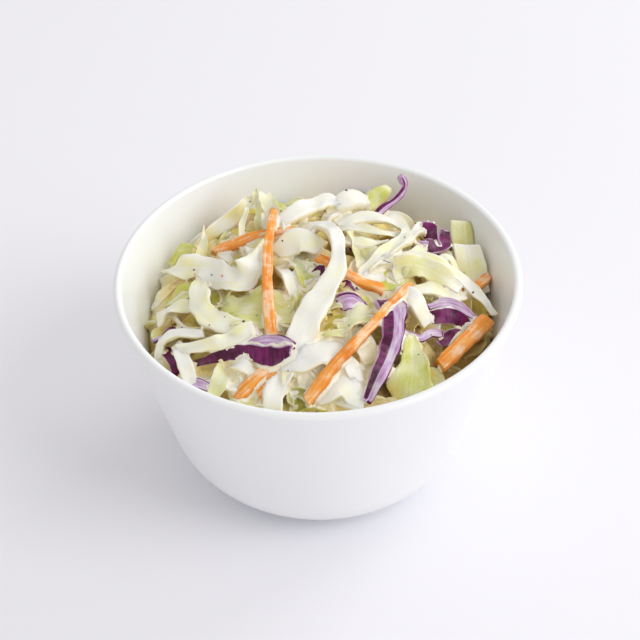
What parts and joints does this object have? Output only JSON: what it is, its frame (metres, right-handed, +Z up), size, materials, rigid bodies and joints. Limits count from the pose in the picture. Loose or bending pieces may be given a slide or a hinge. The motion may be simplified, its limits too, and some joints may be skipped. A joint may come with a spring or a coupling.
{
  "type": "coleslaw",
  "caption": "Coleslaw of shredded white cabbage, carrot and red cabbage, heaped in a small white ceramic bowl.",
  "frame": {"origin": "centre of the foot ring, on the surface that the bowl stands on", "axes": "+Z up, through the bowl's mouth; -Y is the side that faces the viewer"},
  "size_m": [0.1156, 0.1156, 0.0737],
  "materials": {
    "white_glaze": "glazed white ceramic, satin gloss",
    "white_cabbage": "pale shredded cabbage, glossy with dressing",
    "cabbage_leaf": "thin yellow-green leaf, glossy with dressing",
    "carrot": "raw carrot sticks, damp",
    "red_cabbage": "purple skin with lilac cut faces, damp",
    "dressing": "thin creamy dressing, wet gloss",
    "pepper": "cracked black pepper"
  },
  "bodies": {
    "root": {"bowl": "white_glaze", "coleslaw": "white_cabbage"}
  },
  "joints": []
}
